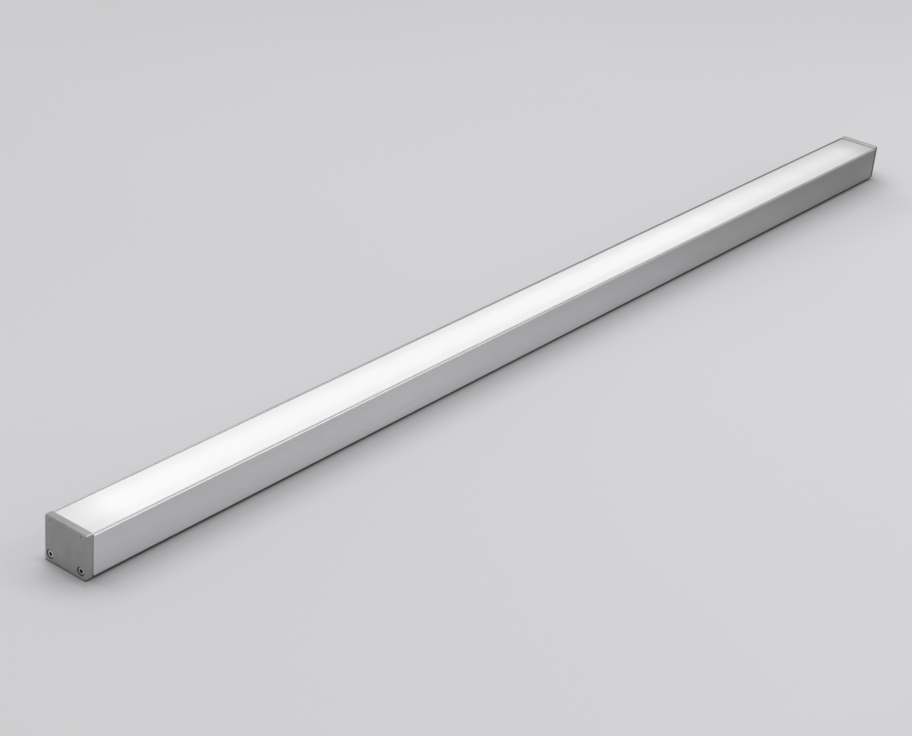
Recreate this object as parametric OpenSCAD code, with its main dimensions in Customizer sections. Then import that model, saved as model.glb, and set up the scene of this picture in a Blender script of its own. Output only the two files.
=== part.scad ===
// Linear wall washer light: an extruded housing with a frosted cover along its top and a
// cast cap on each end. X runs along the lamp, +Z is the way it shines, and it lies on z = 0.

/* [Housing] */
// Length from the face of one end cap to the face of the other
overall_l = 1000; // [500:10:1500]
// Width of the extruded housing
body_w = 38; // [36:0.5:48]
// Height of the extruded housing
body_h = 28.4; // [27:0.2:36]
// Side wall of the housing
wall = 1.9; // [1.5:0.1:2.4]
// Floor of the housing, and the lips of its slot
floor_t = 1.8; // [1.4:0.1:2.2]
// Web that carries the light boards
web_t = 2; // [1.4:0.1:2.6]
// Chamfer along the outer top edges
edge_chamfer = 0.6; // [0.2:0.1:1]
// Chamfer round the housing's cut ends
end_chamfer = 0.4; // [0.2:0.1:0.8]
// Radius along the bottom edges
base_r = 0.5; // [0.3:0.1:1.4]
// Radius of the inner corners
inner_r = 0.5; // [0.3:0.1:0.8]
// Height of the bay under the web
bay_h = 6; // [5.6:0.1:6.6]

/* [Mounting slot] */
// Width of the slot's mouth
slot_neck_w = 5.4; // [4.6:0.1:6.4]
// Width of the slot behind its lips
slot_head_w = 9.2; // [8.2:0.1:10]
// Height of the slot behind its lips
slot_head_h = 4.6; // [4.2:0.1:5]
// Walls beside and over the slot
slot_wall = 1.3; // [1:0.1:1.6]

/* [Cover] */
// Thickness of the cover
cover_t = 3; // [2:0.1:4]
// Depth of the cover's face below the rails
cover_drop = 0.2; // [0:0.1:0.6]
// Chamfer along the cover's top edges
cover_chamfer = 0.3; // [0.1:0.1:0.5]
// Thickness of the seal under the cover
seal_t = 0.7; // [0.4:0.1:1.2]
// Thickness of the seal's lip beside the cover
seal_lip_t = 0.35; // [0.2:0.05:0.6]
// Width of the ledge that carries the cover
ledge_w = 2; // [1.4:0.1:3]
// Thickness of that ledge
ledge_t = 1.6; // [1.2:0.1:2]

/* [End caps] */
// Thickness of a cap's plate
cap_t = 5.2; // [4.2:0.1:8]
// How far a cap stands below the housing
cap_foot = 2.4; // [1:0.1:4]
// How far a cap stands above the housing
cap_rise = 1.2; // [0.2:0.1:2.4]
// How far a cap's side stands inside the housing's side
cap_inset = 0.8; // [0:0.1:1.2]
// Radius of a cap's lower corners
cap_r = 2.4; // [1.4:0.1:3.4]
// Radius of its upper corners
cap_top_r = 1.6; // [1.4:0.1:2.4]
// Fillet round a cap's face
cap_edge_r = 1.2; // [0.3:0.1:1.3]
// Thickness of the gasket behind a cap
gasket_t = 0.4; // [0.3:0.1:1.2]
// How far the gasket's edge stands in from the cap's
gasket_inset = 0.1; // [0.1:0.1:0.6]
// How far a cap's locating frame reaches into the housing
spigot_l = 5; // [3:0.5:6]
// Wall of that frame
spigot_wall = 1.6; // [1.2:0.1:2]
// Clearance round that frame
spigot_gap = 0.2; // [0.1:0.05:0.3]
// Radius of the small dimples in the cap's upper corners
dimple_r = 0.6; // [0.4:0.1:1.2]
// Depth of those dimples
dimple_depth = 0.5; // [0.3:0.1:2]
// Distance of the dimples below the cap's top
dimple_down = 2.8; // [2.4:0.1:4]

/* [Cap screws] */
// Thread diameter
screw_d = 3; // [3:0.1:4.2]
// Length under the head
screw_l = 12; // [8:1:16]
// Head diameter
screw_head_d = 5.5; // [5.2:0.1:7.4]
// Head height
screw_head_h = 3; // [2:0.1:3.2]
// Chamfer round a head
head_chamfer = 0.4; // [0.1:0.1:0.5]
// Width across the flats of the hex socket
socket_af = 2.5; // [2:0.1:3.2]
// Depth of the hex socket
socket_depth = 1.8; // [1.2:0.1:2]
// Depth of a head below the cap's face
head_sink = 0.5; // [0:0.1:0.8]
// Gap round a head in its counterbore
head_gap = 0.35; // [0.2:0.05:0.5]
// Gap round a screw in the cap
shank_gap = 0.15; // [0.1:0.05:0.3]
// Gap round a screw in its port
port_gap = 0.05; // [0.03:0.01:0.1]
// Wall of the housing's screw ports
port_wall = 1.4; // [1:0.1:1.6]
// Distance from a cap's side to its screw
screw_side = 4.9; // [4.4:0.1:5.2]
// Height of the screws above the cap's foot
screw_up = 5.4; // [5:0.1:5.8]

/* [Light boards] */
// Number of lights on each board
chip_count = 10; // [6:1:16]
// Number of screws on each board
board_screw_count = 5; // [2:1:6]
// Width of a board
board_w = 26; // [24:1:28]
// Thickness of a board
board_t = 1.6; // [1:0.1:2]
// Gap between the boards
board_joint = 0.4; // [0.2:0.1:1]
// Distance from the housing's end to a board
board_end = 13.5; // [13:0.5:20]
// Thickness of the heat-transfer tape
pad_t = 0.3; // [0.2:0.1:0.6]
// Width of a light
chip_w = 3.5; // [2.8:0.1:5]
// Height of a light's base
chip_base_h = 0.7; // [0.5:0.1:1]
// Diameter of a light's window
window_d = 2.8; // [2:0.1:2.8]
// Height of a light's window
window_h = 0.3; // [0.1:0.1:0.5]
// Distance of the resistors from the centre line
resistor_y = 7; // [5:0.5:9]
// Thread diameter of a board screw
board_screw_d = 3; // [2.5:0.5:3]
// Head diameter of a board screw
board_screw_head_d = 5.5; // [5:0.1:6]
// Head height of a board screw
board_screw_head_h = 1.8; // [1.4:0.1:2]

/* [Wiring] */
// Diameter of an insulated lead
lead_d = 1.3; // [1:0.1:1.4]
// Gap round a lead in its terminal
lead_gap = 0.15; // [0.1:0.05:0.2]
// Distance between the two leads of a pair
lead_pitch = 3.2; // [2.6:0.1:3.6]
// How far a lead reaches into its terminal
lead_grip = 2.5; // [1.5:0.5:3]
// Distance of the supply leads' ends from the end of the housing
lead_end_gap = 1.5; // [1:0.5:3]
// Distance of a connector from the centre line
connector_y = 8; // [7:0.5:8.5]
// Distance of a connector from its board's end
connector_back = 1; // [0.5:0.5:2]
// Length of the lead hole in the web
lead_hole_l = 6; // [5:0.5:6]
// Width of that hole
lead_hole_w = 8; // [6:0.5:10]

/* [Driver] */
// Length of the driver board
driver_l = 110; // [90:5:180]
// Thickness of the driver board
driver_t = 1.2; // [1:0.1:1.6]
// Clearance of the driver board in its grooves
driver_gap = 0.15; // [0.1:0.05:0.2]
// Height of the ribs that hold the driver board
rib_t = 0.9; // [0.8:0.1:1.1]
// How far those ribs reach into the bay
rib_w = 1.4; // [1:0.1:2]
// Thickness of the insulating sheet
insulator_t = 0.3; // [0.2:0.1:0.5]
// Corner radius of a coil
coil_r = 1.6; // [1:0.1:2]

/* [Cable gland] */
// Thread diameter of the gland
gland_d = 12; // [10:0.5:12]
// Width across the flats of the gland and its nut
gland_af = 15; // [14:0.5:16]
// Thickness of the gland's hexagon
gland_hex_t = 3.5; // [3:0.5:5]
// Length of the nut
nut_l = 6.5; // [6:0.5:9]
// Thickness of the nut's end wall
nut_end_t = 1.2; // [1:0.1:1.6]
// Thickness of the sealing washer
washer_t = 1; // [0.6:0.1:1.6]
// Radial width of the sealing washer
washer_w = 1.4; // [1:0.1:1.4]
// Diameter of the cable that the gland takes
cable_d = 5.5; // [4.5:0.5:6]
// Wall of the rubber insert
seal_wall = 1.8; // [1.4:0.1:2]
// Length of the rubber insert
seal_l = 6; // [5:0.5:7]
// Running gap between the parts of the gland
gland_gap = 0.1; // [0.05:0.05:0.2]

/* [Hidden] */
$fn = 48;
// How far a cut runs past the face it opens
over = 0.5;
// Screws are drawn without their threads, at this share of the thread's diameter
core_share = 0.85;
// A near and a far light board lie end to end
board_count = 2;

// Length, width and height of each small electrical piece
resistor_size = [3.2, 1.6, 0.6];
connector_size = [9, 6.4, 4];
terminal_size = [8, 7, 3.2];
coil_size = [7.4, 7.4, 3.2];
capacitor_size = [7.3, 4.3, 2.8];
driver_chip_size = [5, 4, 1.4];
// Width, reach and thickness of a chip's leg
leg_size = [0.5, 1, 0.25];

// Heights, from the floor up
body_z0 = cap_foot;
body_z1 = body_z0 + body_h;
slot_z0 = body_z0 + floor_t;
slot_z1 = slot_z0 + slot_head_h;
bay_z0 = slot_z1 + slot_wall;
bay_z1 = bay_z0 + bay_h;
web_z1 = bay_z1 + web_t;
pad_z1 = web_z1 + pad_t;
board_z1 = pad_z1 + board_t;
cover_z1 = body_z1 - cover_drop;
cover_z0 = cover_z1 - cover_t;
ledge_z1 = cover_z0 - seal_t;
ledge_z0 = ledge_z1 - ledge_t;
rib_z1 = bay_z0 + rib_t;
driver_z1 = rib_z1 + driver_t;
cap_h = cap_foot + body_h + cap_rise;

// Widths
inner_w = body_w - 2 * wall;
cap_w = body_w - 2 * cap_inset;
cover_w = inner_w - 2 * seal_lip_t;
cover_mouth_w = inner_w - 2 * ledge_w;
slot_block_w = slot_head_w + 2 * slot_wall;

// Places along the lamp
head_r = screw_head_d / 2;
shank_r = core_share * screw_d / 2;
board_shank_r = core_share * board_screw_d / 2;
port_r = shank_r + port_gap;
screw_y = cap_w / 2 - screw_side;
port_boss_r = port_r + port_wall;
gland_z = (bay_z0 + bay_z1) / 2;
gland_l = washer_t + gland_hex_t + nut_l + gland_gap;
near_x = -(overall_l + gland_l) / 2;
far_x = near_x + overall_l;
body_x0 = near_x + cap_t + gasket_t;
body_l = overall_l - 2 * (cap_t + gasket_t);
body_x1 = body_x0 + body_l;
board_x0 = body_x0 + board_end;
board_x1 = body_x1 - board_end;
board_l = (board_x1 - board_x0 - (board_count - 1) * board_joint) / board_count;
board_step = board_l + board_joint;
chip_pitch = board_l / chip_count;
lead_z = board_z1 + connector_size[2] / 2;
driver_lead_z = driver_z1 + terminal_size[2] / 2;
lead_r = lead_d / 2;
lead_hole_r = lead_r + lead_gap;
lead_hole_depth = lead_grip + lead_r;
turn_r = (lead_z - driver_lead_z) / 2;
turn_x = board_x1;
lead_hole_x = turn_x + turn_r;
driver_x1 = board_x1;
driver_x0 = driver_x1 - driver_l;
seal_out_r = cable_d / 2 + seal_wall;
thread_r = gland_d / 2;
collar_r = seal_out_r + gland_gap + seal_wall / 2;

// Runs a section drawn in y and z along X, from x0 for length l
module along(x0, l) {
  translate([x0, 0, 0]) rotate([90, 0, 90]) linear_extrude(l) children();
}

// A rectangle with round corners, centred on y, standing on z = 0
module round_rect(w, h, r) {
  translate([-w / 2 + r, 0]) square([w - 2 * r, h]);
  translate([-w / 2, r]) square([w, h - 2 * r]);
  for (side = [-1, 1], z = [r, h - r]) {
    translate([side * (w / 2 - r), z]) circle(r);
  }
}

// A block centred in x and y, standing on z = 0
module block(size) {
  translate([-size[0] / 2, -size[1] / 2, 0]) cube(size);
}

// Everything inside the housing's outline
module housing_outline() {
  half = body_w / 2;
  polygon([
    [-half, body_z0 + base_r], [-half + base_r, body_z0], [half - base_r, body_z0], [half, body_z0 + base_r],
    [half, body_z1 - edge_chamfer], [half - edge_chamfer, body_z1],
    [-half + edge_chamfer, body_z1], [-half, body_z1 - edge_chamfer]
  ]);
  for (side = [-1, 1]) {
    translate([side * (half - base_r), body_z0 + base_r]) circle(base_r);
  }
}

// The screw port in a lower corner, tied to the floor and the side wall
module port_boss() {
  translate([screw_y, screw_up]) circle(port_boss_r);
  translate([screw_y, body_z0 + floor_t / 2]) {
    square([inner_w / 2 - screw_y + wall / 2, screw_up - body_z0 - floor_t / 2 + port_boss_r]);
  }
}

// One rib of the groove that holds the driver board
module guide_rib(z) {
  translate([inner_w / 2 - rib_w, z]) square([rib_w + wall / 2, rib_t]);
}

// The bay under the web, with its pockets beside the slot
module bay_section() {
  pocket_w = (inner_w - slot_block_w) / 2;
  difference() {
    union() {
      translate([0, bay_z0]) round_rect(inner_w, bay_h, inner_r);
      for (side = [-1, 1]) {
        translate([side * (slot_block_w + pocket_w) / 2, slot_z0]) {
          round_rect(pocket_w, bay_z0 - slot_z0 + inner_r, inner_r);
        }
      }
    }
    for (side = [0, 1]) {
      mirror([side, 0]) {
        port_boss();
        guide_rib(bay_z0);
        guide_rib(driver_z1 + driver_gap);
      }
    }
  }
}

// The chamber of the lights, the mouth between its ledges and the seat of the cover
module chamber_section() {
  translate([0, web_z1]) round_rect(inner_w, ledge_z0 - web_z1, inner_r);
  translate([-cover_mouth_w / 2, web_z1 + inner_r]) square([cover_mouth_w, ledge_z1 - web_z1]);
  translate([-inner_w / 2, ledge_z1]) square([inner_w, body_z1 - ledge_z1 + over]);
}

// The slot for bolt heads along the underside
module slot_section() {
  translate([-slot_neck_w / 2, body_z0 - over]) square([slot_neck_w, floor_t + 2 * over]);
  translate([-slot_head_w / 2, slot_z0]) square([slot_head_w, slot_head_h]);
}

// The whole section of the extrusion
module housing_section() {
  difference() {
    housing_outline();
    chamber_section();
    bay_section();
    slot_section();
    for (side = [-1, 1]) {
      translate([side * screw_y, screw_up]) circle(port_r);
    }
  }
}

// Centre of each screw that holds a light board
function board_screw_x(board, i) =
  board_x0 + board * board_step + chip_pitch * round(chip_count * (i + 0.5) / board_screw_count);

// Wedges that chamfer the outer edges of a cut end at x = 0, with the housing on +X
module end_wedges() {
  c = end_chamfer;
  wedge = [[-over, -over], [c + over, -over], [-over, c + over]];
  for (side = [0, 1]) {
    mirror([0, side, 0]) translate([0, -body_w / 2, body_z0 - over]) {
      linear_extrude(body_h + 2 * over) polygon(wedge);
    }
    translate([0, body_w / 2 + over, side == 0 ? body_z0 : body_z1]) rotate([90, 0, 0]) {
      linear_extrude(body_w + 2 * over) mirror([0, side]) polygon(wedge);
    }
  }
}

module housing() {
  color("silver") difference() {
    along(body_x0, body_l) housing_section();
    translate([body_x0, 0, 0]) end_wedges();
    translate([body_x1, 0, 0]) mirror([1, 0, 0]) end_wedges();
    // Hole in the web for the leads to the lights
    translate([lead_hole_x, connector_y, bay_z1 - over]) {
      block([lead_hole_l, lead_hole_w, web_t + 2 * over]);
    }
    for (board = [0:board_count - 1], i = [0:board_screw_count - 1]) {
      translate([board_screw_x(board, i), 0, bay_z1 - over]) {
        cylinder(r = board_shank_r + port_gap, h = web_t + 2 * over);
      }
    }
  }
}

module diffuser_cover() {
  half = cover_w / 2;
  color("white") along(body_x0, body_l) polygon([
    [-half, cover_z0], [half, cover_z0], [half, cover_z1 - cover_chamfer], [half - cover_chamfer, cover_z1],
    [-half + cover_chamfer, cover_z1], [-half, cover_z1 - cover_chamfer]
  ]);
}

// Seal on one ledge: a strip under the cover and a lip beside it
module cover_seal(side) {
  lip_h = cover_t - cover_chamfer;
  color("gainsboro") mirror([0, side, 0]) along(body_x0, body_l) polygon([
    [-inner_w / 2, ledge_z1], [-inner_w / 2 + ledge_w, ledge_z1], [-inner_w / 2 + ledge_w, cover_z0],
    [-inner_w / 2 + seal_lip_t, cover_z0], [-inner_w / 2 + seal_lip_t, cover_z0 + lip_h],
    [-inner_w / 2, cover_z0 + lip_h]
  ]);
}

module cover_seal_front() {
  cover_seal(0);
}

module cover_seal_back() {
  cover_seal(1);
}

// A cap's outline drawn in by e, with tighter upper corners
module cap_outline(e) {
  half = cap_w / 2;
  translate([-half + cap_r, e]) square([cap_w - 2 * cap_r, cap_h / 2]);
  translate([-half + cap_top_r, cap_h / 2]) square([cap_w - 2 * cap_top_r, cap_h / 2 - e]);
  translate([-half + e, cap_r]) square([cap_w - 2 * e, cap_h - cap_r - cap_top_r]);
  for (side = [-1, 1]) {
    translate([side * (half - cap_r), cap_r]) circle(cap_r - e);
    translate([side * (half - cap_top_r), cap_h - cap_top_r]) circle(cap_top_r - e);
  }
}

// The outer half of a ring, a quarter turn long, that rounds the corner of a cap's face
module cap_corner(r) {
  e = cap_edge_r;
  rotate_extrude(angle = 90) translate([r - e, 0]) intersection() {
    circle(e);
    translate([0, -e]) square([e, 2 * e]);
  }
}

// Plate of a cap with a fillet round its face, which lies on x = 0; the plate runs to +X
module cap_plate() {
  e = cap_edge_r;
  along(e, cap_t - e) cap_outline(0);
  along(0, cap_t) cap_outline(e);
  for (top = [false, true]) {
    r = top ? cap_top_r : cap_r;
    translate([e, -cap_w / 2 + r, top ? cap_h - e : e]) rotate([-90, 0, 0]) {
      cylinder(r = e, h = cap_w - 2 * r);
    }
  }
  for (side = [-1, 1]) {
    translate([e, side * (cap_w / 2 - e), cap_r]) cylinder(r = e, h = cap_h - cap_r - cap_top_r);
  }
  for (turn = [0:3]) {
    side = (turn == 0 || turn == 3) ? 1 : -1;
    r = turn < 2 ? cap_top_r : cap_r;
    z = turn < 2 ? cap_h - r : r;
    translate([e, side * (cap_w / 2 - r), z]) rotate([90 * turn, 0, 0]) rotate([90, 0, 90]) cap_corner(r);
  }
}

// The frame behind a cap that locates it in the chamber of the lights
module cap_spigot() {
  w = inner_w - 2 * spigot_gap;
  h = ledge_z0 - web_z1 - 2 * spigot_gap;
  z = web_z1 + spigot_gap;
  translate([0, 0, z]) along(cap_t - spigot_wall, spigot_wall + gasket_t + spigot_l) difference() {
    round_rect(w, h, inner_r);
    translate([0, spigot_wall]) round_rect(w - 2 * spigot_wall, h - 2 * spigot_wall, inner_r);
  }
}

// One cap with its face on x = 0
module end_cap() {
  difference() {
    union() {
      cap_plate();
      cap_spigot();
    }
    for (side = [-1, 1]) {
      translate([-over, side * screw_y, screw_up]) rotate([0, 90, 0]) {
        cylinder(r = screw_d / 2 + shank_gap, h = cap_t + 2 * over);
        cylinder(r = head_r + head_gap, h = head_sink + screw_head_h + over);
      }
      translate([-over, side * screw_y, cap_h - dimple_down]) rotate([0, 90, 0]) {
        cylinder(r = dimple_r, h = dimple_depth + over);
      }
    }
  }
}

module end_cap_near() {
  color("gray") translate([near_x, 0, 0]) end_cap();
}

module end_cap_far() {
  color("gray") difference() {
    translate([far_x, 0, 0]) mirror([1, 0, 0]) end_cap();
    translate([far_x - cap_t - over, 0, gland_z]) rotate([0, 90, 0]) {
      cylinder(r = thread_r + gland_gap, h = cap_t + 2 * over);
    }
  }
}

// Flat gasket between a cap and the cut end of the housing
module end_gasket(x0) {
  w = cap_w - 2 * gasket_inset;
  h = body_h - 2 * gasket_inset;
  color("dimgray") along(x0, gasket_t) difference() {
    translate([0, body_z0 + gasket_inset]) round_rect(w, h, base_r);
    translate([0, web_z1]) round_rect(inner_w, ledge_z0 - web_z1, inner_r);
    translate([-inner_w / 2 + rib_w, bay_z0]) square([inner_w - 2 * rib_w, bay_h]);
    for (side = [-1, 1]) {
      translate([side * screw_y, screw_up]) circle(screw_d / 2 + shank_gap);
    }
  }
}

module end_gasket_near() {
  end_gasket(near_x + cap_t);
}

module end_gasket_far() {
  end_gasket(body_x1);
}

// Socket-head screw along +X, with the face of its head on x = 0
module cap_screw() {
  rotate([0, 90, 0]) difference() {
    union() {
      cylinder(r1 = head_r - head_chamfer, r2 = head_r, h = head_chamfer);
      translate([0, 0, head_chamfer]) cylinder(r = head_r, h = screw_head_h - head_chamfer);
      cylinder(r = shank_r, h = screw_head_h + screw_l);
    }
    translate([0, 0, -over]) cylinder(d = socket_af / cos(30), h = socket_depth + over, $fn = 6);
  }
}

// The pair of screws of one cap whose face lies on x = 0
module cap_screws() {
  for (side = [-1, 1]) {
    translate([head_sink, side * screw_y, screw_up]) cap_screw();
  }
}

module cap_screws_near() {
  color("lightgray") translate([near_x, 0, 0]) cap_screws();
}

module cap_screws_far() {
  color("lightgray") translate([far_x, 0, 0]) mirror([1, 0, 0]) cap_screws();
}

module led_board(board) {
  x = board_x0 + board * board_step;
  color("whitesmoke") difference() {
    translate([x, -board_w / 2, pad_z1]) cube([board_l, board_w, board_t]);
    for (i = [0:board_screw_count - 1]) {
      translate([board_screw_x(board, i), 0, pad_z1 - over]) {
        cylinder(r = board_screw_d / 2 + shank_gap, h = board_t + 2 * over);
      }
    }
  }
}

module led_board_near() {
  led_board(0);
}

module led_board_far() {
  led_board(1);
}

// The row of lights on one board
module led_chips(board) {
  for (i = [0:chip_count - 1]) {
    x = board_x0 + board * board_step + (i + 0.5) * chip_pitch;
    color("khaki") translate([x, 0, board_z1]) {
      block([chip_w, chip_w, chip_base_h]);
      cylinder(d = window_d, h = chip_base_h + window_h, $fn = 24);
    }
  }
}

module led_chips_near() {
  led_chips(0);
}

module led_chips_far() {
  led_chips(1);
}

module thermal_pad(board) {
  x = board_x0 + board * board_step;
  color("lightsteelblue") difference() {
    translate([x, -board_w / 2, web_z1]) cube([board_l, board_w, pad_t]);
    for (i = [0:board_screw_count - 1]) {
      translate([board_screw_x(board, i), 0, web_z1 - over]) {
        cylinder(r = board_screw_d / 2 + shank_gap, h = pad_t + 2 * over);
      }
    }
  }
}

module thermal_pad_near() {
  thermal_pad(0);
}

module thermal_pad_far() {
  thermal_pad(1);
}

module board_screws() {
  for (board = [0:board_count - 1], i = [0:board_screw_count - 1]) {
    color("lightgray") translate([board_screw_x(board, i), 0, bay_z1]) {
      cylinder(r = board_shank_r, h = web_t + pad_t + board_t);
      translate([0, 0, web_t + pad_t + board_t]) {
        cylinder(r = board_screw_head_d / 2, h = board_screw_head_h);
      }
    }
  }
}

// One resistor beside each light
module board_resistors() {
  for (board = [0:board_count - 1], i = [0:chip_count - 1]) {
    x = board_x0 + board * board_step + (i + 0.5) * chip_pitch;
    color("dimgray") translate([x, -resistor_y, board_z1]) block(resistor_size);
  }
}

// A push-in terminal that takes a pair of leads through its face at x = 0; its body runs to -X
module lead_terminal(size) {
  difference() {
    translate([-size[0], -size[1] / 2, 0]) cube(size);
    for (side = [-1, 1]) {
      translate([-lead_hole_depth, side * lead_pitch / 2, size[2] / 2]) rotate([0, 90, 0]) {
        cylinder(r = lead_hole_r, h = lead_hole_depth + over, $fn = 24);
      }
    }
  }
}

// Far end of the near board, near end of the far board, and far end of the far board
module board_connectors() {
  joint_x = board_x0 + board_step;
  color("ivory") {
    translate([joint_x - board_joint - connector_back, connector_y, board_z1]) lead_terminal(connector_size);
    translate([joint_x + connector_back, connector_y, board_z1]) {
      mirror([1, 0, 0]) lead_terminal(connector_size);
    }
    translate([board_x1 - connector_back, connector_y, board_z1]) lead_terminal(connector_size);
  }
}

// The two leads that bridge the boards
module link_leads() {
  x0 = board_x0 + board_l - connector_back - lead_grip;
  l = board_joint + 2 * (connector_back + lead_grip);
  for (side = [-1, 1]) {
    color("red") translate([x0, connector_y + side * lead_pitch / 2, lead_z]) {
      rotate([0, 90, 0]) cylinder(r = lead_r, h = l, $fn = 24);
    }
  }
}

module driver_board() {
  w = inner_w - 2 * driver_gap;
  color("seagreen") translate([driver_x0, -w / 2, rib_z1]) cube([driver_l, w, driver_t]);
}

// Places of the driver's parts, as shares of the board's length and of the bay's width
coil_shares = [[0.3, -0.2], [0.3, 0.2]];
capacitor_shares = [[0.12, -0.22], [0.12, 0.22], [0.72, -0.05], [0.72, 0.28]];
driver_chip_shares = [[0.5, -0.18], [0.5, 0.18]];

// Puts its children on the driver board at each place of a table of shares
module on_driver(shares) {
  for (place = shares) {
    translate([driver_x0 + place[0] * driver_l, place[1] * inner_w, driver_z1]) children();
  }
}

module driver_coils() {
  color("dimgray") on_driver(coil_shares) linear_extrude(coil_size[2]) {
    translate([0, -coil_size[1] / 2]) round_rect(coil_size[0], coil_size[1], coil_r);
  }
}

module driver_capacitors() {
  color("goldenrod") on_driver(capacitor_shares) block(capacitor_size);
}

// A small chip with four legs on each long side
module driver_chips() {
  legs = 4;
  pitch = driver_chip_size[0] / legs;
  color("black") on_driver(driver_chip_shares) {
    block(driver_chip_size);
    for (i = [0:legs - 1]) {
      translate([(i + 0.5) * pitch - driver_chip_size[0] / 2, 0, 0]) {
        block([leg_size[0], driver_chip_size[1] + 2 * leg_size[1], leg_size[2]]);
      }
    }
  }
}

// Supply terminal in line with the gland, and output terminal under the lead hole in the web
module driver_terminals() {
  for (y = [0, connector_y]) {
    color("limegreen") translate([driver_x1 - connector_back, y, driver_z1]) lead_terminal(terminal_size);
  }
}

module driver_insulator() {
  color("ivory") translate([driver_x0, -slot_block_w / 2, bay_z0]) {
    cube([driver_l, slot_block_w, insulator_t]);
  }
}

// Leads from the driver up through the web, turned back into the board's connector
module output_leads() {
  straight = connector_back + lead_grip;
  for (side = [-1, 1]) {
    color("red") translate([turn_x, connector_y + side * lead_pitch / 2, 0]) {
      for (z = [driver_lead_z, lead_z]) {
        translate([-straight, 0, z]) rotate([0, 90, 0]) cylinder(r = lead_r, h = straight, $fn = 24);
      }
      translate([0, 0, driver_lead_z + turn_r]) rotate([90, 0, 0]) rotate([0, 0, -90]) {
        rotate_extrude(angle = 180) translate([turn_r, 0]) circle(lead_r, $fn = 24);
      }
    }
  }
}

// Leads from the supply terminal, straight towards the inner end of the gland
module supply_leads() {
  x0 = driver_x1 - connector_back - lead_grip;
  for (side = [-1, 1]) {
    color("black") translate([x0, side * lead_pitch / 2, driver_lead_z]) rotate([0, 90, 0]) {
      cylinder(r = lead_r, h = body_x1 - lead_end_gap - x0, $fn = 24);
    }
  }
}

// A hexagon prism along +X
module hex_bar(x0, l) {
  translate([x0, 0, 0]) rotate([0, 90, 0]) cylinder(d = gland_af / cos(30), h = l, $fn = 6);
}

// Puts the gland's parts on its axis, with x = 0 on the cap's face
module on_gland() {
  translate([far_x, 0, gland_z]) children();
}

// Places along the gland's axis
hex_x0 = washer_t;
hex_x1 = hex_x0 + gland_hex_t;
nut_x0 = hex_x1 + gland_gap;
nut_x1 = nut_x0 + nut_l;
insert_x1 = nut_x1 - nut_end_t - gland_gap;
insert_x0 = insert_x1 - seal_l;
collar_x1 = insert_x1 - seal_wall;

module gland_body() {
  bore_r = cable_d / 2 + gland_gap + seal_lip_t;
  color("gray") on_gland() difference() {
    union() {
      translate([-cap_t, 0, 0]) rotate([0, 90, 0]) cylinder(r = thread_r, h = cap_t + hex_x1);
      hex_bar(hex_x0, gland_hex_t);
      translate([hex_x0, 0, 0]) rotate([0, 90, 0]) cylinder(r = collar_r, h = collar_x1 - hex_x0);
    }
    translate([-cap_t - over, 0, 0]) rotate([0, 90, 0]) cylinder(r = bore_r, h = cap_t + nut_x1);
    translate([insert_x0, 0, 0]) rotate([0, 90, 0]) cylinder(r = seal_out_r, h = nut_x1);
  }
}

module gland_seal() {
  color("black") on_gland() translate([insert_x0, 0, 0]) rotate([0, 90, 0]) difference() {
    cylinder(r = seal_out_r, h = seal_l);
    translate([0, 0, -over]) cylinder(r = cable_d / 2, h = seal_l + 2 * over);
  }
}

// Dome nut: a hexagon that turns into a round nose
module gland_nut() {
  nose_l = nut_l / 2;
  nose_r = gland_af / 2;
  color("gray") on_gland() difference() {
    union() {
      hex_bar(nut_x0, nut_l - nose_l);
      translate([nut_x1 - nose_l, 0, 0]) rotate([0, 90, 0]) {
        cylinder(r1 = nose_r, r2 = seal_out_r + nut_end_t / 2, h = nose_l);
      }
    }
    translate([nut_x0 - over, 0, 0]) rotate([0, 90, 0]) {
      cylinder(r = collar_r + gland_gap, h = insert_x1 + gland_gap - nut_x0 + over);
    }
    translate([nut_x0, 0, 0]) rotate([0, 90, 0]) {
      cylinder(r = cable_d / 2 + gland_gap + seal_lip_t, h = nut_l + over);
    }
  }
}

module gland_washer() {
  color("black") on_gland() rotate([0, 90, 0]) difference() {
    cylinder(r = thread_r + washer_w, h = washer_t);
    translate([0, 0, -over]) cylinder(r = thread_r, h = washer_t + 2 * over);
  }
}

housing();
diffuser_cover();
cover_seal_front();
cover_seal_back();
end_cap_near();
end_cap_far();
end_gasket_near();
end_gasket_far();
cap_screws_near();
cap_screws_far();
led_board_near();
led_board_far();
led_chips_near();
led_chips_far();
thermal_pad_near();
thermal_pad_far();
board_screws();
board_resistors();
board_connectors();
link_leads();
driver_board();
driver_coils();
driver_capacitors();
driver_chips();
driver_terminals();
driver_insulator();
output_leads();
supply_leads();
gland_body();
gland_seal();
gland_nut();
gland_washer();
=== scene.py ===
"""Looks of a linear wall washer light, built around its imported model.

Lengths are in metres. X runs along the lamp towards the cable gland, -Y is the side that the
camera sees, and +Z is the way the lamp shines. The lamp stands on z = 0.

Many tones change with the place along the lamp. They were tuned to the photograph, and stand for
light and reflections of its studio.
"""

import math

import bpy
from mathutils import Matrix, Vector


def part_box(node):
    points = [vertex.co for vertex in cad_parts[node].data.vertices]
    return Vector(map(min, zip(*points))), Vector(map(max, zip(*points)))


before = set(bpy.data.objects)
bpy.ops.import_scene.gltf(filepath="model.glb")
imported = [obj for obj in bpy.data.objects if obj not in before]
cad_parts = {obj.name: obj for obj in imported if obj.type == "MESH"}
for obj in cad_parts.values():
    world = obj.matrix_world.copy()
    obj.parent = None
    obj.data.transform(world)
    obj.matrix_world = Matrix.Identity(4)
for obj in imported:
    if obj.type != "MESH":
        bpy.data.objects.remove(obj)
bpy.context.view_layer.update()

MM = 0.001

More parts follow.
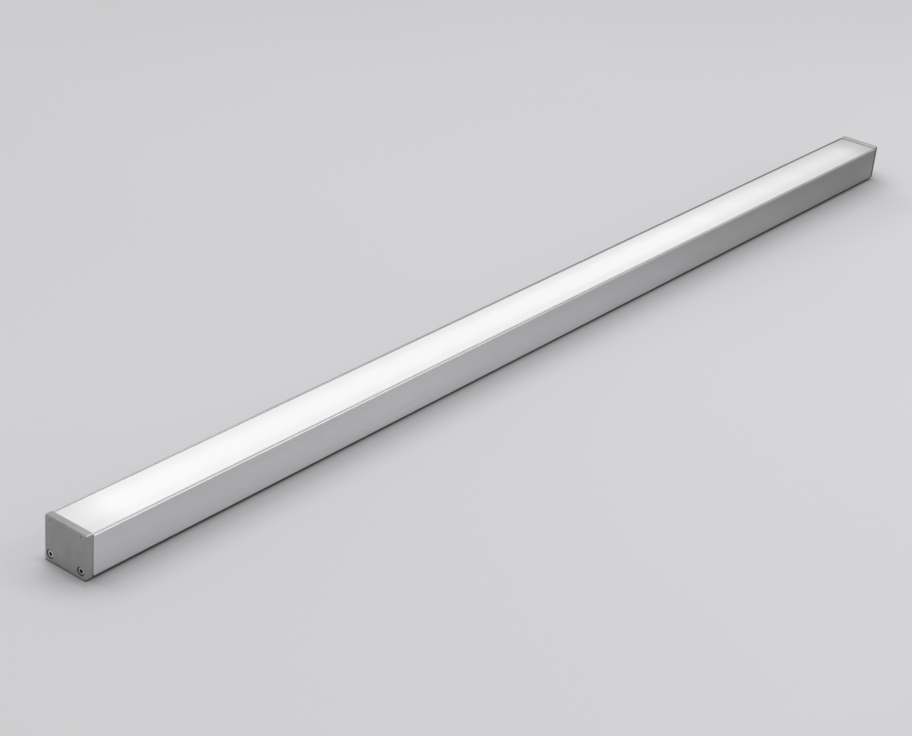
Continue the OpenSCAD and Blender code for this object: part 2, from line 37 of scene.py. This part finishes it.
# Where the pieces are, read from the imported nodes
housing_low, housing_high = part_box("housing")
cover_low, cover_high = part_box("diffuser_cover")
near_cap_low, near_cap_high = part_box("end_cap_near")
far_cap_low, far_cap_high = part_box("end_cap_far")
near_screw_low, near_screw_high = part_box("cap_screws_near")
far_screw_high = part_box("cap_screws_far")[1]
near_board_low, near_board_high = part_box("led_board_near")
far_board_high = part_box("led_board_far")[1]
chips_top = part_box("led_chips_near")[1].z
half_length = (housing_high.x - housing_low.x) / 2
middle_x = (housing_high.x + housing_low.x) / 2
LIGHTS_PER_BOARD = 10
light_pitch = (near_board_high.x - near_board_low.x) / LIGHTS_PER_BOARD
screw_head_r = (near_screw_high.z - near_screw_low.z) / 2
screw_y = near_screw_high.y - screw_head_r
screw_z = near_screw_low.z + screw_head_r

# Sizes of the solids that the boxes don't give
SOCKET_R = 1.5 * MM
END_CHAMFER = 0.4 * MM
EDGE_CHAMFER = 0.6 * MM
CAP_TOP_R = 1.6 * MM
CAP_T = 5.2 * MM
# How far the caps reach past the housing, with their gaskets
CAP_REACH = 5.6 * MM
# The middle of the flat rail beside the cover
RAIL_Y = (cover_high.y + housing_high.y - EDGE_CHAMFER) / 2

# Blender's noise mostly stays in this range
NOISE_SPAN = (0.3, 0.7)
# Tones of the caps change between these places along the lamp
CAP_TONES_X = (-0.45, 0.45)
# The greys are slightly cool
COOL = (0.995, 0.9985, 1.008)

# The camera of the photograph, fitted to the lamp's edges; the place is from the near cap's foot
PHOTO_WIDTH = 912
CAMERA_FOCAL_PX = 2032.1
CAMERA_TURN = math.radians(-54.359)
CAMERA_RISE = math.radians(26.70)
CAMERA_ROLL = math.radians(5.468)
CAMERA_FROM_CAP = Vector((-0.70147, -0.77510, 0.67376))
SENSOR_WIDTH = 36.0
CLIP_END = 100.0

# The studio: paper floor, even sky, and what metal mirrors
FLOOR_SIZE = 30.0
FLOOR_GREY = (0.648, 0.650, 0.662)
# Painted light: the paper is darker at the back and lighter at the front
PAPER_BACK = tuple(0.90 * c for c in FLOOR_GREY)
PAPER_FRONT = tuple(1.145 * c for c in FLOOR_GREY)
# Painted reflection: the grey that metal sees on the floor beside the far half of the lamp
CARD_GREY = 0.24
SKY_GREY = 0.60
# Tones that metal mirrors behind and before the lamp, each from its near to its far end
BEYOND_GREY = (0.29, 0.23)
BEFORE_GREY = (0.62, 0.40)
# How far inside the housing's side its contact shadow starts
UNDERCUT = 1.0 * MM
# Name, place, target, size and power of each softbox
SOFTBOXES = (
    ("overhead_softbox", (0.1, 1.2, 2.1), (0.1, 0, 0), (2.4, 1.5), 24.0),
    ("side_softbox", (1.15, -1.25, 1.45), (-0.1, 0, 0), (0.9, 0.6), 4.5),
)


class Graph:
    """The nodes of one shader tree, driven by a place or a direction in space."""

    def __init__(self, tree, coordinates):
        self.nodes = tree.nodes
        self.links = tree.links
        self.place = self.nodes.new("ShaderNodeTexCoord").outputs[coordinates]
        split = self.nodes.new("ShaderNodeSeparateXYZ")
        self.links.new(self.place, split.inputs[0])
        self.x, self.y, self.z = split.outputs

    def put(self, socket, value):
        """Links an output to a socket, or writes a number or colour on it."""
        if isinstance(value, bpy.types.NodeSocket):
            self.links.new(value, socket)
        elif hasattr(value, "__len__") and len(socket.default_value) == 4 and len(value) == 3:
            socket.default_value = (*value, 1.0)
        else:
            socket.default_value = value

    def math(self, operation, a, b=0.0, c=0.0):
        node = self.nodes.new("ShaderNodeMath")
        node.operation = operation
        for socket, value in zip(node.inputs, (a, b, c)):
            self.put(socket, value)
        return node.outputs[0]

    def less(self, a, b):
        return self.math("SUBTRACT", a, b)

    def times(self, product, *factors):
        for factor in factors:
            product = self.math("MULTIPLY", product, factor)
        return product

    def apart(self, value, middle):
        """How far a value is from the middle, on either side."""
        return self.math("ABSOLUTE", self.less(value, middle))

    def square_sum(self, a, b):
        return self.math("ADD", self.times(a, a), self.times(b, b))

    def noise(self, size, stretch=(1, 1, 1), detail=2.0):
        """Soft noise whose features are about `size` metres, drawn out by `stretch`."""
        scaled = self.nodes.new("ShaderNodeVectorMath")
        scaled.operation = "MULTIPLY"
        self.put(scaled.inputs[0], self.place)
        scaled.inputs[1].default_value = [1 / (size * s) for s in stretch]
        node = self.nodes.new("ShaderNodeTexNoise")
        self.put(node.inputs["Vector"], scaled.outputs[0])
        node.inputs["Scale"].default_value = 1.0
        node.inputs["Detail"].default_value = detail
        return node.outputs["Fac"]

    def fit(self, value, low, high, to_low=0.0, to_high=1.0, smooth=False):
        """Maps a value from low..high to to_low..to_high, held at both ends."""
        node = self.nodes.new("ShaderNodeMapRange")
        node.interpolation_type = "SMOOTHSTEP" if smooth else "LINEAR"
        numbers = {
            "Value": value, "From Min": low, "From Max": high, "To Min": to_low, "To Max": to_high,
        }
        for name, number in numbers.items():
            self.put(node.inputs[name], number)
        return node.outputs["Result"]

    def vary(self, noise, low=0.0, high=1.0):
        """Spreads noise over low..high."""
        return self.fit(noise, *NOISE_SPAN, low, high)

    def where(self, mask, factor):
        """The factor where the mask is 1, and 1 where it is 0."""
        return self.fit(mask, 0.0, 1.0, 1.0, factor)

    def cap_tone(self, near, far):
        """A value for the near cap and another for the far one."""
        return self.fit(self.x, *CAP_TONES_X, near, far)

    def from_end(self, reach=0.0):
        """How far inside the nearer end of the housing a point is, or of a piece that goes on."""
        return self.less(half_length + reach, self.apart(self.x, middle_x))

    def in_corner(self, half_width, height, size):
        """Above zero on the cut or rounding of `size` along both upper corners."""
        out = self.less(self.math("ABSOLUTE", self.y), half_width - size)
        return self.math("MINIMUM", out, self.less(self.z, height - size))

    def mix(self, factor, a, b):
        """A colour between a and b."""
        node = self.nodes.new("ShaderNodeMix")
        node.data_type = "RGBA"
        self.put(node.inputs["Factor"], factor)
        colours = [s for s in node.inputs if s.type == "RGBA"]
        self.put(colours[0], a)
        self.put(colours[1], b)
        return next(s for s in node.outputs if s.type == "RGBA")


class Finish(Graph):
    """One procedural material, driven by the place on the object."""

    def __init__(self, name, metallic=0.0, roughness=0.5):
        self.material = bpy.data.materials.new(name)
        self.material.use_nodes = True
        super().__init__(self.material.node_tree, "Object")
        self.shader = self.nodes["Principled BSDF"]
        self.set("Metallic", metallic)
        self.set("Roughness", roughness)

    def set(self, name, value):
        self.put(self.shader.inputs[name], value)

    def bump(self, height, strength, depth):
        node = self.nodes.new("ShaderNodeBump")
        node.inputs["Strength"].default_value = strength
        node.inputs["Distance"].default_value = depth
        self.put(node.inputs["Height"], height)
        self.put(self.shader.inputs["Normal"], node.outputs["Normal"])


def grey(level, tint=(1.0, 1.0, 1.0)):
    return tuple(level * t for t in tint)


def anodised():
    """Satin silver aluminium, with faint lines along the extrusion and less metallic sawn ends;
    painted light and shade make it lighter low down, vary along the rails and light up the ends.
    """
    g = Finish("anodised_aluminium", metallic=1.0)
    lines = g.noise(0.5 * MM, (160, 1, 1), 3.0)
    cloud = g.noise(45 * MM, (2, 1, 1), 1.0)
    streaks = g.math("ADD", g.times(lines, 0.6), g.times(cloud, 0.4))
    # Painted light: the housing is lighter towards the bottom
    height = g.fit(g.z, housing_low.z, housing_high.z, 1.20, 0.97)
    # Painted shade and highlight: the flat front rail is darker towards the near end and lighter
    # past the middle
    on_rail = g.math("LESS_THAN", g.apart(g.y, -RAIL_Y), RAIL_Y - cover_high.y)
    on_top = g.math("GREATER_THAN", g.z, housing_high.z - 0.1 * MM)
    front_rail_shading = g.where(g.times(on_top, on_rail), g.fit(g.x, -0.45, 0.15, 0.78, 1.30))
    # Painted shade: the back rail and its chamfer turn darker towards the far end
    behind = g.math("GREATER_THAN", g.y, cover_high.y)
    upper = g.math("GREATER_THAN", g.z, housing_high.z - EDGE_CHAMFER)
    back_rail_shade = g.where(g.times(behind, upper), g.fit(g.x, -0.15, 0.25, 0.92, 0.68))
    # Painted highlight: a light line at each end, on the housing just inside the cut and on the cut
    # face and chamfer, which are also duller, less metallic bare metal
    inside = g.from_end()
    end_highlight = g.fit(inside, 0.6 * MM, 1.2 * MM, 1.03, 1.0)
    tone = g.times(g.vary(streaks, 0.64, 0.74), height, front_rail_shading, back_rail_shade, end_highlight)
    sawn = g.math("LESS_THAN", inside, END_CHAMFER)
    g.set("Base Color", g.mix(sawn, g.mix(tone, grey(0.0), COOL), grey(0.72, COOL)))
    g.set("Metallic", g.where(sawn, 0.4))
    # The cut chamfers along the top edges are smoother than the faces
    corner = g.in_corner(housing_high.y, housing_high.z, EDGE_CHAMFER)
    smoother = g.times(g.fit(corner, -0.1 * MM, 0.0), 0.07)
    g.set("Roughness", g.less(g.vary(lines, 0.44, 0.52), smoother))
    g.bump(lines, 0.12, 0.02 * MM)
    return g.material


def around_screws(g):
    """Distance of a point from the axis of its cap screw, and its depth under the screws' faces."""
    dy = g.less(g.math("ABSOLUTE", g.y), screw_y)
    dz = g.less(g.z, screw_z)
    reach = (far_screw_high.x - near_screw_low.x) / 2
    middle = (far_screw_high.x + near_screw_low.x) / 2
    return g.math("SQRT", g.square_sum(dy, dz)), g.less(reach, g.apart(g.x, middle))


def powder_coat():
    """Mid-grey coat of the cast caps, with a fine orange-peel skin, painted shade in the
    counterbores, and painted light and shade on the tops, sides and corners.
    """
    g = Finish("cap_coat", metallic=0.15)
    cloud = g.noise(9 * MM, (1, 1, 1), 2.0)
    grain = g.noise(0.35 * MM, (1, 1, 1), 2.0)
    # Painted light and shade: the top is lighter, as if lit by the cover's glow, less so towards
    # the outer edge, where the far cap's top is darker; the front of each top is lighter than its
    # back
    end = g.from_end(CAP_REACH)
    glow = g.fit(end, 1.3 * MM, 2.3 * MM, g.cap_tone(1.09, 0.66), g.cap_tone(1.13, 1.64))
    # Painted light: on the far cap, the small step down to the cover is lighter still, as if it
    # took most of the glow
    step_light = g.fit(end, CAP_T - 0.2 * MM, CAP_T - 0.1 * MM, 0.0, g.cap_tone(0.0, 0.9))
    glow = g.times(g.math("ADD", glow, step_light), g.fit(g.y, -18 * MM, 18 * MM, 1.10, 0.94))
    top = g.fit(g.z, housing_high.z - 0.2 * MM, housing_high.z + 0.6 * MM)
    # Painted shade: below its top, the far cap is darker
    height = g.fit(top, 0.0, 1.0, g.cap_tone(1.0, 0.70), glow)
    # Painted shade: the far cap's front side is a little darker
    side_y = far_cap_low.y
    side = g.fit(g.y, side_y + 0.1 * MM, side_y + 0.3 * MM, g.cap_tone(1.0, 0.62), 1.0)
    # Painted highlight: the upper corners of the near cap are bright
    corner = g.in_corner(near_cap_high.y, near_cap_high.z, CAP_TOP_R)
    corner_highlight = g.fit(corner, 0.5 * MM, 1.0 * MM, 1.0, g.cap_tone(2.0, 1.0))
    tone = g.times(g.vary(cloud, 0.292, 0.333), height, side, corner_highlight)
    radius, depth = around_screws(g)
    # Painted shade: the counterbores are dark around the screw heads
    bore_shade = g.math("LESS_THAN", radius, screw_head_r + 0.5 * MM)
    bore_shade = g.times(bore_shade, g.fit(depth, -0.3 * MM, 0.2 * MM))
    g.set("Base Color", g.mix(bore_shade, g.mix(tone, grey(0.0), COOL), grey(0.05)))
    g.set("Roughness", g.vary(grain, 0.36, 0.46))
    g.bump(grain, 0.18, 0.03 * MM)
    return g.material


def light_spots(g):
    """Soft spots over the lights; slow noise makes some of them stronger than others."""
    phase = g.math("DIVIDE", g.less(g.x, near_board_low.x), light_pitch)
    phase = g.less(g.math("FRACT", phase), 0.5)
    dx = g.times(phase, light_pitch / (9 * MM))
    dy = g.math("DIVIDE", g.y, 8 * MM)
    spot = g.math("EXPONENT", g.times(g.square_sum(dx, dy), -0.5))
    uneven = g.fit(g.noise(60 * MM, (1, 2, 1), 1.0), 0.35, 0.65, 0.35, 1.0)
    return g.times(spot, uneven, 0.08)


def frosted_cover():
    """Opal cover, lit from below by a row of lights that show as soft spots."""
    g = Finish("frosted_cover", roughness=0.34)
    half = (cover_high.y - cover_low.y) / 2
    side = g.math("DIVIDE", g.math("ABSOLUTE", g.y), half)
    rim = g.fit(g.x, housing_low.x, housing_high.x, 0.86, 0.70)
    core = g.fit(side, 0.2, 1.0, 1.0, rim, smooth=True)
    # The moulded lip along the front is a little brighter
    from_lip = g.apart(g.y, 2.6 * MM - half)
    core = g.math("ADD", core, g.fit(from_lip, 0.3 * MM, 1.1 * MM, 0.09, 0.0, smooth=True))
    # Each end is dimmer, because no light stands beside the cap
    first = near_board_low.x + light_pitch / 2
    last = far_board_high.x - light_pitch / 2
    near_fade = g.fit(g.x, cover_low.x, first, 0.66, 1.0, smooth=True)
    far_fade = g.fit(g.x, last, cover_high.x, 1.0, 0.40, smooth=True)
    # The far half and the back are dimmer too
    along = g.fit(g.x, 0.15, housing_high.x, 1.0, 0.66)
    back = g.fit(g.y, 0.0, half, 1.0, g.fit(g.x, -0.1, 0.5, 0.94, 0.80))
    glow = g.times(g.math("ADD", light_spots(g), core), near_fade, far_fade, along, back)
    g.set("Base Color", grey(0.50, COOL))
    g.set("Emission Color", g.mix(glow, grey(0.0), grey(0.475, COOL)))
    g.set("Emission Strength", 1.0)
    g.bump(g.noise(0.25 * MM, (1, 1, 1), 2.0), 0.06, 0.02 * MM)
    return g.material


def turned_steel():
    """Steel of the cap screws, with the rings of a turned head and painted shade deep in the
    socket.
    """
    g = Finish("screw_steel", metallic=1.0)
    radius, depth = around_screws(g)
    ring_pitch = 0.22 * MM
    rings = g.math("SINE", g.times(radius, 2 * math.pi / ring_pitch))
    steel = g.mix(g.vary(g.noise(1.2 * MM)), grey(0.54, COOL), grey(0.66, COOL))
    # Painted shade: the socket turns dark from 0.6 to 1 mm deep
    socket = g.math("LESS_THAN", radius, SOCKET_R)
    socket = g.times(socket, g.fit(depth, 0.6 * MM, 1.0 * MM))
    g.set("Base Color", g.mix(socket, steel, grey(0.03)))
    g.set("Roughness", g.fit(rings, -1.0, 1.0, 0.26, 0.34))
    g.bump(rings, 0.10, 0.01 * MM)
    return g.material


def plated_steel():
    """Bright zinc of the small screws inside."""
    g = Finish("board_screw_steel", metallic=1.0)
    cloud = g.noise(1.2 * MM)
    g.set("Base Color", g.mix(g.vary(cloud), grey(0.58, COOL), grey(0.70, COOL)))
    g.set("Roughness", g.vary(cloud, 0.24, 0.36))
    return g.material


def moulded(name, dark, light, roughness=0.5, size=3 * MM, grain=0.2 * MM, strength=0.15):
    """Small plastic, rubber or foil piece, with soft changes of tone and a fine grain."""
    g = Finish(name)
    g.set("Base Color", g.mix(g.vary(g.noise(size)), dark, light))
    fine = g.noise(grain)
    g.set("Roughness", g.vary(fine, roughness - 0.06, roughness + 0.06))
    g.bump(fine, strength, grain / 10)
    return g.material


def clear_silicone():
    """Translucent seal, painted lighter at the far front and the near back, as if it took more of
    the cover's glow there.
    """
    g = Finish("clear_silicone", roughness=0.45)
    tone = g.vary(g.noise(12 * MM), 0.38, 0.46)
    front = g.math("LESS_THAN", g.y, 0.0)
    # Painted light: the cover's glow on the seal, by side and place along the lamp
    front_glow = g.fit(g.x, -0.10, 0.12, 1.0, 1.75)
    back_glow = g.fit(g.x, -0.20, 0.20, 1.8, 1.0)
    glow = g.fit(front, 0.0, 1.0, back_glow, front_glow)
    g.set("Base Color", g.mix(g.times(tone, glow), grey(0.0), COOL))
    g.bump(g.noise(0.3 * MM), 0.1, 0.03 * MM)
    return g.material


def circuit(name, mask, copper):
    """Board with rows of tracks under its lacquer."""
    g = Finish(name, roughness=0.4)
    row_pitch, row_share = 2.4 * MM, 0.22
    track = g.math("LESS_THAN", g.math("FRACT", g.math("DIVIDE", g.y, row_pitch)), row_share)
    run = g.math("GREATER_THAN", g.noise(14 * MM, (1, 0.2, 1), 0.0), 0.46)
    tracks = g.times(track, run)
    g.set("Base Color", g.mix(tracks, mask, copper))
    g.bump(tracks, 0.3, 0.03 * MM)
    return g.material


def light_face():
    """White base of each light, with its yellow window on top."""
    g = Finish("light_window", roughness=0.35)
    top = g.math("GREATER_THAN", g.z, chips_top - 0.2 * MM)
    window = g.mix(g.noise(0.3 * MM), (0.75, 0.52, 0.10), (0.85, 0.66, 0.18))
    g.set("Base Color", g.mix(top, grey(0.72), window))
    return g.material


def dress_nodes():
    """Gives every CAD node its finish."""
    skin = 0.25 * MM
    steel = turned_steel()
    cap = powder_coat()
    black_part = moulded("component_black", grey(0.018), grey(0.035), 0.45)
    gasket = moulded("gasket_rubber", grey(0.19), grey(0.24), 0.62, 4 * MM, skin, 0.2)
    rubber = moulded("gland_rubber", grey(0.016), grey(0.028), 0.72, 4 * MM, skin, 0.3)
    silicone = clear_silicone()
    white_board = circuit("board_white", grey(0.74), grey(0.62))
    green_board = circuit("board_green", (0.02, 0.12, 0.05), (0.05, 0.20, 0.08))
    tape = moulded("heat_tape", (0.30, 0.36, 0.45), (0.36, 0.42, 0.52), 0.6)
    connector = moulded("connector_white", grey(0.62), grey(0.72), 0.4)
    capacitor = moulded("capacitor_amber", (0.50, 0.26, 0.03), (0.60, 0.34, 0.05), 0.4)
    terminal = moulded("terminal_green", (0.03, 0.26, 0.06), (0.05, 0.33, 0.09), 0.4)
    sheet = moulded("insulating_sheet", (0.62, 0.58, 0.46), (0.70, 0.66, 0.54), 0.35)
    red_lead = moulded("lead_red", (0.42, 0.015, 0.012), (0.52, 0.03, 0.02), 0.42)
    black_lead = moulded("lead_black", grey(0.012), grey(0.025), 0.42)
    gland = moulded(
        "gland_plastic", grey(0.115, COOL), grey(0.145, COOL), 0.46, 5 * MM, skin, 0.25
    )
    lights = light_face()
    finishes = {
        "housing": anodised(),
        "diffuser_cover": frosted_cover(),
        "cover_seal_front": silicone,
        "cover_seal_back": silicone,
        "end_cap_near": cap,
        "end_cap_far": cap,
        "end_gasket_near": gasket,
        "end_gasket_far": gasket,
        "cap_screws_near": steel,
        "cap_screws_far": steel,
        "led_board_near": white_board,
        "led_board_far": white_board,
        "led_chips_near": lights,
        "led_chips_far": lights,
        "thermal_pad_near": tape,
        "thermal_pad_far": tape,
        "board_screws": plated_steel(),
        "board_resistors": black_part,
        "board_connectors": connector,
        "link_leads": red_lead,
        "driver_board": green_board,
        "driver_coils": black_part,
        "driver_capacitors": capacitor,
        "driver_chips": black_part,
        "driver_terminals": terminal,
        "driver_insulator": sheet,
        "output_leads": red_lead,
        "supply_leads": black_lead,
        "gland_body": gland,
        "gland_seal": rubber,
        "gland_nut": gland,
        "gland_washer": rubber,
    }
    for name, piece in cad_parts.items():
        slots = piece.material_slots
        if not slots:
            piece.data.materials.append(None)
        for slot in slots:
            slot.material = finishes[name]


def make_camera():
    data = bpy.data.cameras.new("camera")
    camera = bpy.data.objects.new("camera", data)
    bpy.context.scene.collection.objects.link(camera)
    data.sensor_width = SENSOR_WIDTH
    data.lens = SENSOR_WIDTH * CAMERA_FOCAL_PX / PHOTO_WIDTH
    data.clip_end = CLIP_END
    back = Vector((
        math.sin(CAMERA_TURN) * math.cos(CAMERA_RISE),
        -math.cos(CAMERA_TURN) * math.cos(CAMERA_RISE),
        math.sin(CAMERA_RISE),
    ))
    right = Vector((0, 0, 1)).cross(back).normalized()
    up = back.cross(right)
    tilt = Matrix.Rotation(CAMERA_ROLL, 3, back)
    right, up = tilt @ right, tilt @ up
    pose = Matrix((right, up, back)).transposed().to_4x4()
    pose.translation = Vector((near_cap_low.x, 0, 0)) + CAMERA_FROM_CAP
    camera.matrix_world = pose
    bpy.context.scene.camera = camera


def paper_colour(g):
    """Pale paper, with painted light that makes it a little lighter towards the front."""
    cloud = g.noise(0.5, (1, 1, 1), 1.0)
    front = g.fit(g.y, 0.8, -0.4, 0.04, 0.96)
    return g.mix(g.math("ADD", front, g.vary(cloud, -0.04, 0.04)), PAPER_BACK, PAPER_FRONT)


def contact_shade(g):
    """Painted shadow: the share of the light left on the floor, under the lamp and a little around
    its ends.
    """
    along = g.less(g.apart(g.x, middle_x), half_length + CAP_REACH)
    across = g.less(g.math("ABSOLUTE", g.y), housing_high.y - UNDERCUT)
    gap = g.math("MAXIMUM", along, across)
    width = g.fit(g.x, 0.0, 0.35, 0.6 * MM, 2.2 * MM)
    under = g.fit(gap, -0.4 * MM, width, 0.40, 1.0)
    under = g.times(under, g.fit(gap, 0.0, 7 * MM, 0.80, 1.0))
    # The floor by the far foot and past it stays light
    end_x = far_cap_high.x
    at_foot = g.fit(g.x, end_x - 14 * MM, end_x + 1 * MM, smooth=True)
    under = g.math("MAXIMUM", under, at_foot)
    # A wider painted shade lies around the near end, and before the far half
    off_centre = g.apart(g.y, -6 * MM)
    near = g.fit(g.x, -0.50, -0.38, 0.15, 0.0)
    near = g.times(near, g.fit(off_centre, 3 * MM, 28 * MM, 1.0, 0.0, smooth=True))
    far = g.fit(g.x, -0.10, 0.50, 0.0, 0.18)
    far = g.times(far, g.fit(g.y, -10 * MM, 10 * MM, 1.0, 0.1))
    far = g.times(far, g.fit(g.x, end_x - 50 * MM, end_x + 10 * MM, 1.0, 0.0, smooth=True))
    outside = [g.math("MAXIMUM", distance, 0.0) for distance in (along, across)]
    away = g.math("SQRT", g.square_sum(*outside))
    reach = g.fit(g.x, -0.4, 0.4, 36 * MM, 80 * MM)
    ends = g.times(g.math("ADD", near, far), g.fit(away, 3 * MM, reach, 1.0, 0.0))
    return g.times(under, g.less(1.0, ends))


def make_floor():
    mesh = bpy.data.meshes.new("studio_floor")
    low, high = -FLOOR_SIZE, FLOOR_SIZE
    corners = [(low, low, 0), (high, low, 0), (high, high, 0), (low, high, 0)]
    mesh.from_pydata(corners, [], [(0, 1, 2, 3)])
    floor = bpy.data.objects.new("studio_floor", mesh)
    bpy.context.scene.collection.objects.link(floor)
    g = Finish("studio_floor", roughness=0.9)
    # Painted shadow under and around the lamp, on the paper's colour
    paper = g.mix(contact_shade(g), grey(0.0), paper_colour(g))
    # Painted reflection: to glossy rays, the floor beside the far half of the lamp shows as a grey
    # card
    glossy = g.nodes.new("ShaderNodeLightPath").outputs["Is Glossy Ray"]
    card_reflection = g.times(glossy, g.fit(g.x, -0.18, 0.58, 0.0, 1.0, smooth=True))
    g.set("Base Color", g.mix(card_reflection, paper, grey(CARD_GREY)))
    g.set("Specular IOR Level", 0.0)
    mesh.materials.append(g.material)


def make_world():
    """An even soft sky; a look past the floor's edge meets the floor's own grey."""
    world = bpy.data.worlds.new("studio")
    bpy.context.scene.world = world
    world.use_nodes = True
    g = Graph(world.node_tree, "Generated")
    path = g.nodes.new("ShaderNodeLightPath").outputs
    # The top faces mirror the studio behind the lamp, which is darker; the front edge mirrors
    # what is before it
    far_end = g.fit(g.x, 0.60, 0.86, smooth=True)
    before, beyond = (
        g.mix(far_end, grey(near), grey(far)) for near, far in (BEFORE_GREY, BEYOND_GREY)
    )
    around = g.mix(g.fit(g.y, -0.30, 0.20, smooth=True), before, beyond)
    backdrop = g.mix(path["Is Glossy Ray"], FLOOR_GREY, around)
    seen = g.math("MAXIMUM", path["Is Camera Ray"], path["Is Glossy Ray"])
    seen = g.math("MAXIMUM", seen, path["Is Transmission Ray"])
    g.put(g.nodes["Background"].inputs["Color"], g.mix(seen, grey(SKY_GREY), backdrop))


def make_softbox(name, place, target, size, watts):
    data = bpy.data.lights.new(name, "AREA")
    data.shape = "RECTANGLE"
    data.size, data.size_y = size
    data.energy = watts
    lamp = bpy.data.objects.new(name, data)
    bpy.context.scene.collection.objects.link(lamp)
    aim = Vector(target) - Vector(place)
    lamp.location = place
    lamp.rotation_mode = "QUATERNION"
    lamp.rotation_quaternion = aim.to_track_quat("-Z", "Y")


bpy.context.scene.view_settings.view_transform = "Standard"
dress_nodes()
make_camera()
make_floor()
make_world()
for softbox in SOFTBOXES:
    make_softbox(*softbox)
